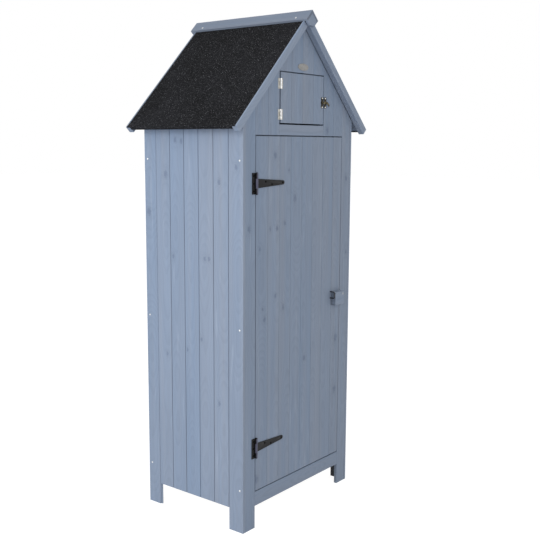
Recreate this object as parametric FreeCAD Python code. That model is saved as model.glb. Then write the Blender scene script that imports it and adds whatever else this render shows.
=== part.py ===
import FreeCAD, Part
import math
import os

# Garden storage cabinet, free standing. Millimetres, +Z up, front towards -Y.
# Origin: on the ground, under the middle of the whole object.

# Overall sizes
total_height = 1790.0
body_width = 640.0
body_depth = 460.0
roof_width = 770.0
roof_pitch = 45.2

# Tongue and groove boards of the walls and doors
board_thickness = 12.0
front_board_count = 10
last_door_board = 56.5
side_board_count = 7
front_leg_face = 64.2
back_leg_face = 57.3
joint_gap = 0.4
groove_chamfer = 2.0
edge_break = 0.8
tongue_length = 6.0
tongue_thickness = 3.6
tongue_clearance = 0.3

# Heights of the front, from the ground up
leg_height = 80.0
sill_height = 52.0
main_door_gap = 4.0
gable_below_eaves = 77.8
gable_rail_height = 36.5
small_door_bottom_gap = 5.0
small_door_height = 169.5
small_door_top_gap = 4.0
door_side_gap = 2.4
small_hinge_gap = 6.0

# Roof
deck_thickness = 7.5
deck_board_count = 8
deck_beyond_wall = 0.5
felt_thickness = 2.0
felt_margin = 6.0
felt_drip = 10.5
barge_width = 24.0
barge_thickness = 22.0
barge_gap = 4.0
cap_board_thickness = 8.0
cap_board_width = 47.4
end_block_gap = 5.0
end_block_thickness = 10.0
end_block_drop = 19.0

# Inner frame
post_size = 20.0
back_stile_width = 42.0
rail_thickness = 15.0
rail_height = 25.0
header_thickness = 20.0
header_stop = 12.0
header_above_gable = 31.0
batten_thickness = 20.0
batten_depth = 30.0
jamb_width = 28.0
jamb_stop = 6.0
head_batten_height = 30.0
bearer_width = 25.0

# Floor, loft, divider and shelves
floor_above_legs = 37.0
floor_thickness = 12.0
floor_board_count = 7
loft_board_count = 6
shelf_board_count = 6
slat_gap = 1.0
fit_gap = 0.5
divider_offset = 30.0
divider_board_count = 6
shelf_front_inset = 40.0
shelf_count = 3
shelf_thickness = 12.0

# Ledges and braces behind the doors
ledge_thickness = 12.0
ledge_height = 60.0
ledge_inset = 28.0
brace_width = 48.0
small_ledge_height = 40.0
small_ledge_inset = 18.0

# T-hinges of the main door
hinge_inset = 156.0
hinge_leaf_width = 20.0
hinge_leaf_height = 71.0
hinge_plate = 2.5
barrel_radius = 4.8
barrel_play = 0.2
pin_radius = 2.4
pin_play = 0.05
pin_head_radius = 3.8
pin_head_height = 1.6
knuckle_height = 33.0
knuckle_play = 0.3
strap_share_of_board = 2.37
strap_tip_radius = 7.2
strap_screw_shares = (0.77, 1.3, 2.23)
strap_screw_rises = (5.0, -4.4, 0.0)
leaf_screw_share = 0.72

# Butt hinges of the small door
small_hinge_height = 35.0
small_hinge_leaf = 12.4
small_hinge_plate = 1.2
small_barrel_radius = 2.7
small_pin_radius = 1.3
small_hinge_top_inset = 38.3
small_hinge_bottom_inset = 28.4
butt_screw_share = 0.6

# Box latch of the small door
latch_height_on_door = 77.0
latch_plate_height = 41.0
latch_plate_width = 16.5
latch_plate_thickness = 1.2
latch_stud_radius = 2.0
latch_stud_length = 3.8
latch_rivet_head = 3.4
latch_rivet_cap = 1.0
latch_screw_share = 0.78
hook_thickness = 1.5
hook_lift = 1.3
hook_play = 0.4
hook_half_height = 4.6
hook_reach = 29.0
hook_tail = 10.0
hook_drop = 8.0
hook_tip_radius = 3.6

# Turn block of the main door
turn_share_of_door = 0.518
turn_edge_inset = 6.0
turn_right = 9.5
turn_up = 10.0
turn_down = 40.0
turn_thickness = 20.0
turn_chamfer = 1.6
turn_washer = 1.0
turn_washer_radius = 7.0
spindle_radius = 3.0
spindle_head_radius = 4.6
spindle_head_height = 2.4
nut_radius = 6.0
nut_height = 3.0
turn_tongue_width = 12.0
turn_tongue_reach = 37.0
turn_tongue_thickness = 3.0

# Staple beside the turn block
staple_wire = 2.3
staple_height = 29.0
staple_reach = 22.0
staple_depth = 8.0
staple_joint_inset = 5.4
staple_offset = 5.0
staple_rise = 5.0

# Blank oval plate on the gable
oval_half_width = 30.5
oval_half_height = 12.2
oval_thickness = 1.5
oval_above_door = 20.5

# Screws: head radius, head height, shank radius, shank length
wall_screw = (3.2, 1.2, 1.7, 26.0)
roof_screw = (3.2, 1.2, 1.7, 8.0)
hinge_screw = (3.6, 1.6, 1.7, 10.0)
small_screw = (2.2, 0.9, 1.1, 8.0)
latch_screw = (2.9, 1.1, 1.2, 8.0)
drill_play = 0.05
wall_screw_inset = 15.0
wall_screw_height = 152.0
wall_screw_below_gable = 84.0
cap_screw_inset = 53.0
cap_screw_slope = 33.0

# Places worked out from the sizes above
half_width = body_width / 2
front = -body_depth / 2
back = body_depth / 2
inner_half = half_width - board_thickness
inner_front = front + board_thickness
inner_back = back - board_thickness
stile_width = body_width / front_board_count
side_pitch = (body_depth - front_leg_face - back_leg_face) / (side_board_count - 2)
opening_half = half_width - stile_width

slope = math.radians(roof_pitch)
cos_slope = math.cos(slope)
sin_slope = math.sin(slope)
tan_slope = math.tan(slope)
ridge_height = total_height - (cap_board_thickness + felt_thickness) / cos_slope
slope_length = (roof_width / 2 - felt_thickness * sin_slope) / cos_slope - felt_thickness
eaves_height = ridge_height - deck_thickness / cos_slope - half_width * tan_slope

sill_top = leg_height + sill_height
door_bottom = sill_top + main_door_gap
gable_bottom = eaves_height - gable_below_eaves
door_top = gable_bottom - main_door_gap
gable_rail_top = gable_bottom + gable_rail_height
small_door_bottom = gable_rail_top + small_door_bottom_gap
small_door_top = small_door_bottom + small_door_height
gable_top_bottom = small_door_top + small_door_top_gap
header_top = gable_bottom + header_above_gable
header_bottom = door_top - header_stop

barge_back = front - barge_gap
barge_front = barge_back - barge_thickness
deck_half_length = deck_beyond_wall - front
cap_half_length = end_block_gap + end_block_thickness - barge_front

floor_bottom = leg_height + floor_above_legs
floor_top = floor_bottom + floor_thickness
loft_bottom = header_top - floor_thickness
ledge_back = inner_front + ledge_thickness
shelf_front = front + shelf_front_inset
divider_left = divider_offset
divider_right = divider_offset + board_thickness
shelf_pitch = (loft_bottom - floor_top) / (shelf_count + 1)
shelf_bottoms = [floor_top + shelf_pitch * (index + 1) for index in range(shelf_count)]
middle_shelf_bottom = shelf_bottoms[shelf_count // 2]

door_left = -opening_half + door_side_gap
door_right = opening_half - door_side_gap
door_board_count = front_board_count - 2
door_pitch = (door_right - door_left - last_door_board) / (door_board_count - 1)
front_joints = [door_left + door_pitch * index for index in range(door_board_count)]
hinge_x = -opening_half + door_side_gap / 2
hinge_y = front - barrel_radius - barrel_play
hinge_heights = (door_bottom + hinge_inset, door_top - hinge_inset)
door_middle = (door_bottom + door_top) / 2

small_left = front_joints[2] + door_side_gap
small_right = front_joints[6] - door_side_gap
small_opening_left = small_left - small_hinge_gap
small_opening_right = front_joints[6]
small_hinge_x = small_opening_left + small_hinge_gap / 2
small_hinge_y = front - small_barrel_radius - barrel_play
small_hinge_heights = (small_door_bottom + small_hinge_bottom_inset, small_door_top - small_hinge_top_inset)

turn_x = door_right - turn_edge_inset
turn_z = door_bottom + (door_top - door_bottom) * turn_share_of_door
staple_x = front_joints[-1] - staple_joint_inset
turn_left = turn_x - staple_x - staple_offset
turn_back = front - turn_washer
turn_front = turn_back - turn_thickness

nodes = {}


def box(x0, x1, y0, y1, z0, z1):
    return Part.makeBox(x1 - x0, y1 - y0, z1 - z0, FreeCAD.Vector(x0, y0, z0))


def extrude(points, travel):
    """Solid swept by a flat polygon of 3-D points."""
    corners = [FreeCAD.Vector(*point) for point in points]
    wire = Part.makePolygon(corners + [corners[0]])
    return Part.Face(wire).extrude(FreeCAD.Vector(*travel))


def bar_y(outline, y0, y1):
    """Outline in X and Z, swept along Y."""
    return extrude([(x, y0, z) for x, z in outline], (0, y1 - y0, 0))


def rod(radius, length, base, direction):
    return Part.makeCylinder(radius, length, FreeCAD.Vector(*base), FreeCAD.Vector(*direction))


def slope_point(side, along, depth):
    """X and Z of a point on a roof slope: down it from the ridge, and below the top of the deck."""
    x = side * (along * cos_slope - depth * sin_slope)
    z = ridge_height - along * sin_slope - depth * cos_slope
    return x, z


def slope_bar(side, top, bottom, end, y0, y1):
    """Bar lying on a slope, mitred at the ridge and cut square at its lower end."""
    outline = [slope_point(side, top * tan_slope, top), slope_point(side, end, top)]
    outline += [slope_point(side, end, bottom), slope_point(side, bottom * tan_slope, bottom)]
    return bar_y(outline, y0, y1)


def roof_height(x, depth):
    """Height of the roof's surface at a depth below the top of the deck."""
    return ridge_height - depth / cos_slope - abs(x) * tan_slope


def under_roof(depth):
    """Everything below the roof's surface at a depth, used to cut the tops of uprights."""
    reach = roof_width
    outline = [(-reach, -reach), (reach, -reach), (reach, roof_height(reach, depth))]
    outline += [(0, ridge_height - depth / cos_slope), (-reach, roof_height(reach, depth))]
    return bar_y(outline, -reach, reach)


below_deck = under_roof(deck_thickness)
below_battens = under_roof(deck_thickness + batten_depth)


def board_outline(width, left, right):
    """Section of one board: width along the wall, thickness inwards from its face."""
    tongue_front = (board_thickness - tongue_thickness) / 2
    tongue_back = tongue_front + tongue_thickness
    left_chamfer = groove_chamfer if left == "groove" else edge_break
    right_chamfer = groove_chamfer if right == "tongue" else edge_break
    outline = [(left_chamfer, 0), (width - right_chamfer, 0), (width, right_chamfer)]
    if right == "tongue":
        tip = width + tongue_length
        outline += [(width, tongue_front), (tip, tongue_front), (tip, tongue_back), (width, tongue_back)]
    outline += [(width, board_thickness), (0, board_thickness)]
    if left == "groove":
        floor = tongue_length + tongue_clearance
        slot_back = tongue_back + tongue_clearance
        slot_front = tongue_front - tongue_clearance
        outline += [(0, slot_back), (floor, slot_back), (floor, slot_front), (0, slot_front)]
    outline.append((0, left_chamfer))
    return outline


def board_run(start, along, inward, widths, bottoms, top):
    """Upright boards side by side, each joined to the next by a tongue in a groove."""
    boards = []
    first = 0.0
    for index, (width, bottom) in enumerate(zip(widths, bottoms)):
        last = index == len(widths) - 1
        left = "groove" if index > 0 else "plain"
        right = "plain" if last else "tongue"
        face = width if last else width - joint_gap
        corners = []
        for across, deep in board_outline(face, left, right):
            x = start[0] + along[0] * (first + across) + inward[0] * deep
            y = start[1] + along[1] * (first + across) + inward[1] * deep
            corners.append((x, y, bottom))
        boards.append(extrude(corners, (0, 0, top - bottom)))
        first += width
    return boards


def trimmed(solids, limit):
    return [solid.common(limit) for solid in solids]


def slats(x0, x1, y0, y1, z0, z1, count):
    """Flat boards that run along X, side by side in Y."""
    pitch = (y1 - y0) / count
    made = []
    for index in range(count):
        start = y0 + index * pitch
        made.append(box(x0, x1, start, start + pitch - slat_gap, z0, z1))
    return made


def screw(size, base, outward):
    """Screw with its head on the surface at base and its shank behind it."""
    head_radius, head_height, shank_radius, shank_length = size
    point = FreeCAD.Vector(*base)
    direction = FreeCAD.Vector(*outward)
    head = Part.makeCone(head_radius, head_radius * 0.6, head_height, point, direction)
    shank = Part.makeCylinder(shank_radius, shank_length, point, direction * -1)
    return head.fuse(shank)


def drill(names, radius, length, base, outward):
    """Hole behind base in every solid of the named nodes that it meets."""
    back_off = FreeCAD.Vector(*outward)
    point = FreeCAD.Vector(*base) + back_off
    hole = Part.makeCylinder(radius, length + 1, point, back_off * -1)
    for name in names:
        bored = []
        for solid in nodes[name]:
            near = solid.BoundBox.intersect(hole.BoundBox)
            bored.append(solid.cut(hole) if near else solid)
        nodes[name] = bored


def set_screws(node, size, places, outward, hosts):
    for base in places:
        drill(hosts, size[2] + drill_play, size[3] + drill_play, base, outward)
        nodes.setdefault(node, []).append(screw(size, base, outward))


def make_side_wall(name, side):
    """Seven boards from back to front: the outer two run on to the ground as legs."""
    bottoms = [0.0] + [leg_height] * (side_board_count - 2) + [0.0]
    start = (side * half_width, back)
    widths = [back_leg_face] + [side_pitch] * (side_board_count - 2) + [front_leg_face]
    boards = board_run(start, (0, -1), (-side, 0), widths, bottoms, total_height)
    boards = trimmed(boards, below_deck)
    nodes[name + "_back_leg_board"] = boards[:1]
    nodes[name + "_front_leg_board"] = boards[-1:]
    nodes[name + "_wall_boards"] = boards[1:-1]


def make_front():
    """Stiles, sill, gable boards and the plain rail between the doors."""
    for name, side in (("left", -1), ("right", 1)):
        start = (min(side * inner_half, side * opening_half), front)
        stile = board_run(start, (1, 0), (0, 1), [inner_half - opening_half], [0.0], total_height)
        nodes[name + "_front_stile"] = trimmed(stile, below_deck)
    nodes["front_sill"] = [box(-opening_half, opening_half, front, inner_front, leg_height, sill_top)]
    gable = []
    left_widths = [front_joints[1] + opening_half, small_opening_left - front_joints[1]]
    right_widths = [door_pitch, opening_half - front_joints[-1]]
    for start, widths in ((-opening_half, left_widths), (small_opening_right, right_widths)):
        gable += board_run((start, front), (1, 0), (0, 1), widths, [gable_bottom] * 2, total_height)
    nodes["gable_side_boards"] = trimmed(gable, below_deck)
    start = (small_opening_left, front)
    widths = [front_joints[3] - small_opening_left, door_pitch, door_pitch, door_pitch]
    top = board_run(start, (1, 0), (0, 1), widths, [gable_top_bottom] * 4, total_height)
    nodes["gable_top_boards"] = trimmed(top, below_deck)
    rail = box(small_opening_left, small_opening_right, front, inner_front, gable_bottom, gable_rail_top)
    nodes["gable_rail"] = [rail]


def make_back():
    """Back wall between the side walls, with a stile at each corner down to the ground."""
    board_count = front_board_count - 2
    back_half = inner_half - back_stile_width
    pitch = 2 * back_half / board_count
    start = (-back_half, back)
    bottoms = [leg_height] * board_count
    boards = board_run(start, (1, 0), (0, -1), [pitch] * board_count, bottoms, total_height)
    nodes["back_wall_boards"] = trimmed(boards, below_deck)
    stiles = []
    for x in (-inner_half, back_half):
        stiles += board_run((x, back), (1, 0), (0, -1), [back_stile_width], [0.0], total_height)
    nodes["back_stiles"] = trimmed(stiles, below_deck)


def make_frame():
    """Corner posts, rails, header, surround of the small door and sloping battens."""
    posts = []
    for side in (-1, 1):
        x0, x1 = sorted((side * inner_half, side * (inner_half - post_size)))
        posts.append(box(x0, x1, inner_front, inner_front + post_size, 0, header_bottom))
        posts.append(box(x0, x1, inner_back - post_size, inner_back, 0, header_bottom))
    nodes["corner_posts"] = posts

    levels = (floor_bottom - rail_height, middle_shelf_bottom - rail_height, loft_bottom - rail_height)
    side_rails = []
    back_rails = []
    for level in levels:
        top = level + rail_height
        for side in (-1, 1):
            x0, x1 = sorted((side * inner_half, side * (inner_half - rail_thickness)))
            side_rails.append(box(x0, x1, inner_front + post_size, inner_back - post_size, level, top))
        reach = inner_half - post_size
        back_rails.append(box(-reach, reach, inner_back - rail_thickness, inner_back, level, top))
    nodes["side_wall_rails"] = side_rails
    nodes["back_wall_rails"] = back_rails

    header_back = inner_front + header_thickness
    nodes["door_header"] = [box(-inner_half, inner_half, inner_front, header_back, header_bottom, header_top)]

    surround_back = inner_front + rail_thickness
    left = front_joints[2] + jamb_stop
    right = small_opening_right - jamb_stop
    surround = [box(left - jamb_width, left, inner_front, surround_back, header_top, total_height)]
    surround.append(box(right, right + jamb_width, inner_front, surround_back, header_top, total_height))
    head_bottom = gable_top_bottom - small_door_top_gap - jamb_stop
    head_top = head_bottom + head_batten_height
    surround.append(box(left, right, inner_front, surround_back, head_bottom, head_top))
    nodes["small_door_surround"] = trimmed(surround, below_battens)

    battens = []
    between_walls = box(-inner_half, inner_half, front, back, header_top, total_height)
    lowest = deck_thickness + batten_depth
    for y0 in (inner_front, inner_back - batten_thickness):
        for side in (-1, 1):
            bar = slope_bar(side, deck_thickness, lowest, slope_length, y0, y0 + batten_thickness)
            battens.append(bar.common(between_walls))
    nodes["gable_battens"] = battens


def make_floors():
    """Floor on its bearers, loft floor, divider and the shelves beside it."""
    reach = inner_half - fit_gap
    floor = slats(-reach, reach, inner_front, inner_back + slat_gap, floor_bottom, floor_top,
                  floor_board_count)
    for side in (-1, 1):
        x0, x1 = sorted((side * (inner_half + 1), side * (inner_half - post_size - fit_gap)))
        for y0 in (inner_front - 1, inner_back - post_size - fit_gap):
            notch = box(x0, x1, y0, y0 + post_size + fit_gap + 1, floor_bottom - 1, floor_top + 1)
            floor = [board.cut(notch) for board in floor]
    nodes["floor_boards"] = floor

    low = floor_bottom - rail_height
    front_reach = inner_half - post_size
    bearer_back = inner_front + rail_thickness
    bearers = [box(-front_reach, front_reach, inner_front, bearer_back, low, floor_bottom)]
    middle_back = inner_back - rail_thickness
    bearers.append(box(-bearer_width / 2, bearer_width / 2, bearer_back, middle_back, low, floor_bottom))
    nodes["floor_bearers"] = bearers

    loft_front = inner_front + header_thickness
    nodes["loft_boards"] = slats(-reach, reach, loft_front, inner_back + slat_gap, loft_bottom, header_top,
                                 loft_board_count)

    pitch = (middle_back - shelf_front) / divider_board_count
    bottoms = [floor_top] * divider_board_count
    start = (divider_left, shelf_front)
    widths = [pitch] * divider_board_count
    nodes["divider_boards"] = board_run(start, (0, 1), (1, 0), widths, bottoms, loft_bottom)

    shelf_back = inner_back - post_size
    cleats = []
    shelves = []
    for level in shelf_bottoms:
        top = level + shelf_thickness
        shelves += slats(divider_right + fit_gap, reach, shelf_front, shelf_back, level, top,
                         shelf_board_count)
        low = level - rail_height
        cleats.append(box(divider_right, divider_right + rail_thickness, shelf_front, shelf_back, low, level))
        if level != middle_shelf_bottom:
            cleats.append(box(inner_half - rail_thickness, inner_half, shelf_front, shelf_back, low, level))
    nodes["shelves"] = shelves
    nodes["shelf_cleats"] = cleats


def make_roof():
    """Deck boards from front to back, bargeboards, felt that lies in their rebates, and ridge cap."""
    felt_half = -barge_front - felt_margin
    drip_end = slope_length + felt_thickness
    for name, side in (("left", -1), ("right", 1)):
        whole = slope_bar(side, 0, deck_thickness, slope_length, -deck_half_length, deck_half_length)
        pitch = slope_length / deck_board_count
        deck = []
        for index in range(deck_board_count):
            first = index * pitch if index else -deck_thickness
            last = (index + 1) * pitch - (joint_gap if index < deck_board_count - 1 else 0)
            window = [slope_point(side, first, -1), slope_point(side, last, -1)]
            for along in (last, first):
                window.append(slope_point(side, along, deck_thickness + 1))
            deck.append(whole.common(bar_y(window, -deck_half_length, deck_half_length)))
        nodes["roof_deck_" + name] = deck

        sheet = slope_bar(side, -felt_thickness, 0, drip_end, -felt_half, felt_half)
        drip = [slope_point(side, along, -felt_thickness) for along in (slope_length, drip_end)]
        drip += [slope_point(side, drip_end, felt_drip), slope_point(side, slope_length, felt_drip)]
        felt = sheet.fuse(bar_y(drip, barge_back, -barge_back)).removeSplitter()
        nodes["roof_felt_" + name] = [felt]

        rebate = slope_bar(side, -felt_thickness - 1, 0, drip_end, -felt_half, felt_half)
        for node, y0, y1 in (("front_bargeboard_" + name, barge_front, barge_back),
                             ("back_bargeboards", -barge_back, -barge_front)):
            bar = slope_bar(side, -felt_thickness, barge_width, slope_length, y0, y1)
            nodes.setdefault(node, []).append(bar.cut(rebate))

        cap_top = -felt_thickness - cap_board_thickness
        cap_end = cap_top * tan_slope + cap_board_width
        nodes["ridge_cap_" + name] = [slope_bar(side, cap_top, -felt_thickness, cap_end, -cap_half_length,
                                                cap_half_length)]

    edge = cap_board_width - (felt_thickness + cap_board_thickness) * tan_slope
    outline = [slope_point(1, -felt_thickness * tan_slope, -felt_thickness)]
    outline += [slope_point(1, edge, -felt_thickness), slope_point(1, edge, end_block_drop - felt_thickness)]
    outline += [slope_point(-1, edge, depth - felt_thickness) for depth in (end_block_drop, 0)]
    inner = cap_half_length - end_block_thickness
    nodes["ridge_end_blocks"] = [bar_y(outline, -cap_half_length, -inner),
                                 bar_y(outline, inner, cap_half_length)]


def make_main_door():
    """Boards, ledges and braces of the main door."""
    widths = [door_pitch] * (door_board_count - 1) + [last_door_board]
    bottoms = [door_bottom] * door_board_count
    nodes["main_door_boards"] = board_run((door_left, front), (1, 0), (0, 1), widths, bottoms, door_top)

    left = door_left + ledge_inset
    right = door_right - ledge_inset
    levels = (hinge_heights[0], door_middle, hinge_heights[1])
    ledges = []
    for level in levels:
        ledges.append(box(left, right, inner_front, ledge_back, level - ledge_height / 2,
                          level + ledge_height / 2))
    for low, high in zip(levels[:-1], levels[1:]):
        bottom = low + ledge_height / 2
        top = high - ledge_height / 2
        outline = [(left, bottom), (left + brace_width, bottom), (right, top), (right - brace_width, top)]
        ledges.append(bar_y(outline, inner_front, ledge_back))
    nodes["main_door_ledges"] = ledges


def make_small_door():
    """Boards and ledges of the small door in the gable."""
    widths = [front_joints[3] - small_left, door_pitch, door_pitch, small_right - front_joints[5]]
    bottoms = [small_door_bottom] * 4
    start = (small_left, front)
    nodes["small_door_boards"] = board_run(start, (1, 0), (0, 1), widths, bottoms, small_door_top)
    left = small_left + small_ledge_inset
    right = small_right - small_ledge_inset
    half = small_ledge_height / 2
    nodes["small_door_ledges"] = [box(left, right, inner_front, ledge_back, level - half, level + half)
                                  for level in small_hinge_heights]


def make_t_hinge(name, level):
    """Black T-hinge: leaf with two knuckles on the stile, strap with one on the door, and a pin."""
    half = hinge_leaf_height / 2
    middle = knuckle_height / 2
    bore = rod(pin_radius + pin_play, hinge_leaf_height + 2, (hinge_x, hinge_y, level - half - 1), (0, 0, 1))

    leaf = box(hinge_x - hinge_leaf_width, hinge_x, front - hinge_plate, front, level - half, level + half)
    leaf = leaf.fuse(rod(barrel_radius, hinge_leaf_height, (hinge_x, hinge_y, level - half), (0, 0, 1)))
    clear = barrel_radius + knuckle_play
    slot = box(hinge_x - clear, hinge_x + clear, hinge_y - clear, front + 1, level - middle, level + middle)
    nodes[name + "_hinge_leaf"] = [leaf.cut(slot).cut(bore)]

    root = middle - knuckle_play
    tip = door_left + door_pitch * strap_share_of_board - strap_tip_radius
    face_y = front - hinge_plate
    corners = [FreeCAD.Vector(x, face_y, level + rise) for x, rise in (
        (hinge_x, -root), (tip, -strap_tip_radius), (tip, strap_tip_radius), (hinge_x, root))]
    nose = FreeCAD.Vector(tip + strap_tip_radius, face_y, level)
    edges = [Part.makeLine(corners[0], corners[1]), Part.Arc(corners[1], nose, corners[2]).toShape(),
             Part.makeLine(corners[2], corners[3]), Part.makeLine(corners[3], corners[0])]
    plate = Part.Face(Part.Wire(edges)).extrude(FreeCAD.Vector(0, hinge_plate, 0))
    knuckle = rod(barrel_radius, 2 * root, (hinge_x, hinge_y, level - root), (0, 0, 1))
    nodes[name + "_hinge_strap"] = [plate.fuse(knuckle).cut(bore)]

    pin = rod(pin_radius, hinge_leaf_height, (hinge_x, hinge_y, level - half), (0, 0, 1))
    for base, direction in ((level + half, 1), (level - half, -1)):
        head = Part.makeCone(pin_head_radius, pin_head_radius * 0.6, pin_head_height,
                             FreeCAD.Vector(hinge_x, hinge_y, base), FreeCAD.Vector(0, 0, direction))
        pin = pin.fuse(head)
    nodes.setdefault("hinge_pins", []).append(pin)

    leaf_x = hinge_x - barrel_radius - (hinge_leaf_width - barrel_radius) / 2
    spread = half * leaf_screw_share
    leaf_places = [(leaf_x, front - hinge_plate, level + offset) for offset in (-spread, 0, spread)]
    set_screws("hinge_leaf_screws", hinge_screw, leaf_places, (0, -1, 0),
               [name + "_hinge_leaf", "left_front_stile"])
    strap_places = []
    for share, rise in zip(strap_screw_shares, strap_screw_rises):
        strap_places.append((door_left + door_pitch * share, front - hinge_plate, level + rise))
    set_screws("hinge_strap_screws", hinge_screw, strap_places, (0, -1, 0),
               [name + "_hinge_strap", "main_door_boards"])


def make_small_hinge(level):
    """Bright butt hinge on the face of the gable and of the small door."""
    third = small_hinge_height / 6
    half = small_hinge_height / 2
    face = front - small_hinge_plate
    spot = (small_hinge_x, small_hinge_y)
    bore = rod(small_pin_radius + pin_play, small_hinge_height + 2, (*spot, level - half - 1), (0, 0, 1))
    clear = small_barrel_radius + knuckle_play
    middle = box(spot[0] - clear, spot[0] + clear, spot[1] - clear, front + 1, level - third, level + third)

    fixed = box(spot[0] - small_hinge_leaf, spot[0], face, front, level - half, level + half)
    fixed = fixed.fuse(rod(small_barrel_radius, small_hinge_height, (*spot, level - half), (0, 0, 1)))
    nodes.setdefault("small_hinge_frame_leaves", []).append(fixed.cut(middle).cut(bore))

    knuckle_half = third - knuckle_play
    moving = box(spot[0] + clear, spot[0] + small_hinge_leaf, face, front, level - half, level + half)
    bridge = box(spot[0], spot[0] + clear + 1, face, front, level - knuckle_half, level + knuckle_half)
    knuckle = rod(small_barrel_radius, 2 * knuckle_half, (*spot, level - knuckle_half), (0, 0, 1))
    moving = moving.fuse(bridge).fuse(knuckle).cut(bore)
    nodes.setdefault("small_hinge_door_leaves", []).append(moving)
    pin = rod(small_pin_radius, small_hinge_height, (*spot, level - half), (0, 0, 1))
    nodes.setdefault("small_hinge_pins", []).append(pin)

    reach = (clear + small_hinge_leaf) / 2
    spread = half * butt_screw_share
    for side, screws, leaf, host in (
            (-1, "carcass_screws", "small_hinge_frame_leaves", "gable_side_boards"),
            (1, "small_door_screws", "small_hinge_door_leaves", "small_door_boards")):
        places = [(spot[0] + side * reach, face, level + offset) for offset in (-spread, spread)]
        set_screws(screws, small_screw, places, (0, -1, 0), [leaf, host])


def make_box_latch():
    """Brass plate with a swinging hook on the door, plate with a stud on the gable."""
    level = small_door_bottom + latch_height_on_door
    face = front - latch_plate_thickness
    half = latch_plate_height / 2
    door_x = small_right - latch_plate_width / 2
    frame_x = small_opening_right + latch_plate_width / 2
    hook_back = face - hook_lift
    hook_front = hook_back - hook_thickness

    def plate(x, reach):
        x0 = x - latch_plate_width / 2
        blank = box(x0, x0 + latch_plate_width, face, front, level - half, level + half)
        return blank.fuse(rod(latch_stud_radius, reach, (x, face, level), (0, -1, 0)))

    cap_start = hook_lift + hook_thickness + hook_play
    pivot_plate = plate(door_x, cap_start)
    cap = rod(latch_rivet_head, latch_rivet_cap, (door_x, face - cap_start, level), (0, -1, 0))
    nodes["box_latch_door_plate"] = [pivot_plate.fuse(cap)]
    nodes["box_latch_frame_plate"] = [plate(frame_x, latch_stud_length)]

    end = door_x + hook_reach
    tail_x = end + hook_tail
    tail_z = level - hook_drop
    arm = box(door_x, end, hook_front, hook_back, level - hook_half_height, level + hook_half_height)
    arm = arm.fuse(rod(hook_half_height, hook_thickness, (door_x, hook_front, level), (0, 1, 0)))
    tail = [(end, level + hook_half_height), (tail_x, tail_z + hook_tip_radius),
            (tail_x, tail_z - hook_tip_radius), (end, level - hook_half_height)]
    arm = arm.fuse(bar_y(tail, hook_front, hook_back))
    arm = arm.fuse(rod(hook_tip_radius, hook_thickness, (tail_x, hook_front, tail_z), (0, 1, 0)))
    play = latch_stud_radius + hook_play
    reach = frame_x - door_x
    ring = rod(reach + play, hook_thickness, (door_x, hook_front, level), (0, 1, 0))
    ring = ring.cut(rod(reach - play, hook_thickness, (door_x, hook_front, level), (0, 1, 0)))
    mouth = ring.common(box(door_x, tail_x, hook_front, hook_back, level - reach, level + play))
    eye = rod(latch_stud_radius + pin_play, hook_thickness, (door_x, hook_front, level), (0, 1, 0))
    nodes["box_latch_hook"] = [arm.cut(mouth).cut(eye)]

    spread = half * latch_screw_share
    for x, screws, latch, host in (
            (door_x, "small_door_screws", "box_latch_door_plate", "small_door_boards"),
            (frame_x, "carcass_screws", "box_latch_frame_plate", "gable_side_boards")):
        places = [(x, face, level + offset) for offset in (-spread, spread)]
        set_screws(screws, latch_screw, places, (0, -1, 0), [latch, host])


def make_turn_block():
    """Wooden block that turns on a spindle through the door, with a tongue behind it."""
    block = box(turn_x - turn_left, turn_x + turn_right, turn_front, turn_back,
                turn_z - turn_down, turn_z + turn_up)
    block = block.makeChamfer(turn_chamfer, block.Edges)
    bore = rod(spindle_radius, turn_thickness + 2, (turn_x, turn_front - 1, turn_z), (0, 1, 0))
    nodes["turn_block"] = [block.cut(bore)]

    tongue_front = inner_front + fit_gap
    tongue_back = tongue_front + turn_tongue_thickness
    half = turn_tongue_width / 2
    tongue = box(turn_x - half, turn_x + half, tongue_front, tongue_back, turn_z - turn_tongue_reach, turn_z)
    tongue = tongue.fuse(rod(half, turn_tongue_thickness, (turn_x, tongue_front, turn_z), (0, 1, 0)))
    hole = rod(spindle_radius, turn_tongue_thickness + 2, (turn_x, tongue_front - 1, turn_z), (0, 1, 0))
    tongue = tongue.cut(hole)
    nodes["turn_tongue"] = [tongue]

    spindle_end = tongue_back + nut_height
    spindle = rod(spindle_radius, spindle_end - turn_front, (turn_x, turn_front, turn_z), (0, 1, 0))
    head = Part.makeCone(spindle_head_radius, spindle_head_radius * 0.6, spindle_head_height,
                         FreeCAD.Vector(turn_x, turn_front, turn_z), FreeCAD.Vector(0, -1, 0))
    nut = []
    for index in range(6):
        turn = math.radians(60 * index)
        nut.append((turn_x + nut_radius * math.cos(turn), turn_z + nut_radius * math.sin(turn)))
    washer = rod(turn_washer_radius, turn_washer - barrel_play, (turn_x, turn_back, turn_z), (0, 1, 0))
    spindle = spindle.fuse(head).fuse(bar_y(nut, tongue_back, spindle_end)).fuse(washer)
    nodes["turn_spindle"] = [spindle]
    drill(["main_door_boards"], spindle_radius + pin_play, board_thickness + 1, (turn_x, front, turn_z),
          (0, -1, 0))


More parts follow.
